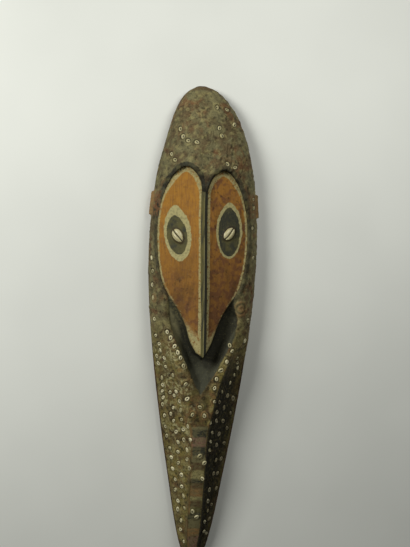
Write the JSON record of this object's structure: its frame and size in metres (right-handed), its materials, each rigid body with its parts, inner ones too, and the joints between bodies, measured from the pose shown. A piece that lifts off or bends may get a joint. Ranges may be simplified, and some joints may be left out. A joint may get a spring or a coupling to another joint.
{
  "type": "wooden mask",
  "caption": "Tall oval carved wooden mask with a hollow back, painted face lobes, narrow nose, cowrie eyes and small shells pressed in a paste crust.",
  "frame": {"origin": "on the plane of the back rim, below the middle of the mask's box", "axes": "+Y along the mask from the beard's tip to the crown, +X to the viewer's right, +Z out of the face"},
  "size_m": [0.2032, 0.9, 0.1003],
  "materials": {
    "wood": "old wood under a rough olive-brown clay paste, with ochre, black and white paint on the face",
    "cowrie": "glossy worn cream shell, dark in the slit",
    "nassa": "dull off-white shell, brown with dirt in the mouth"
  },
  "bodies": {
    "root": {"wooden_mask": "wood", "eye_cowrie_left": "cowrie", "eye_cowrie_right": "cowrie", "nassa_shell_01": "nassa", "nassa_shell_02": "nassa", "nassa_shell_03": "nassa", "nassa_shell_04": "nassa", "nassa_shell_05": "nassa", "nassa_shell_06": "nassa", "nassa_shell_07": "nassa", "nassa_shell_08": "nassa", "nassa_shell_09": "nassa", "nassa_shell_10": "nassa", "nassa_shell_11": "nassa", "nassa_shell_12": "nassa", "nassa_shell_13": "nassa", "nassa_shell_14": "nassa", "nassa_shell_15": "nassa", "nassa_shell_16": "nassa", "nassa_shell_17": "nassa", "nassa_shell_18": "nassa", "nassa_shell_19": "nassa", "nassa_shell_20": "nassa", "nassa_shell_21": "nassa", "nassa_shell_22": "nassa", "nassa_shell_23": "nassa", "nassa_shell_24": "nassa", "nassa_shell_25": "nassa", "nassa_shell_26": "nassa", "nassa_shell_27": "nassa", "nassa_shell_28": "nassa", "nassa_shell_29": "nassa", "nassa_shell_30": "nassa", "nassa_shell_31": "nassa", "nassa_shell_32": "nassa", "nassa_shell_33": "nassa", "nassa_shell_34": "nassa", "nassa_shell_35": "nassa", "nassa_shell_36": "nassa", "nassa_shell_37": "nassa", "nassa_shell_38": "nassa", "nassa_shell_39": "nassa", "nassa_shell_40": "nassa", "nassa_shell_41": "nassa", "nassa_shell_42": "nassa", "nassa_shell_43": "nassa", "nassa_shell_44": "nassa", "nassa_shell_45": "nassa", "nassa_shell_46": "nassa", "nassa_shell_47": "nassa", "nassa_shell_48": "nassa", "nassa_shell_49": "nassa", "nassa_shell_50": "nassa", "nassa_shell_51": "nassa", "nassa_shell_52": "nassa", "nassa_shell_53": "nassa", "nassa_shell_54": "nassa", "nassa_shell_55": "nassa", "nassa_shell_56": "nassa", "nassa_shell_57": "nassa"}
  },
  "joints": []
}
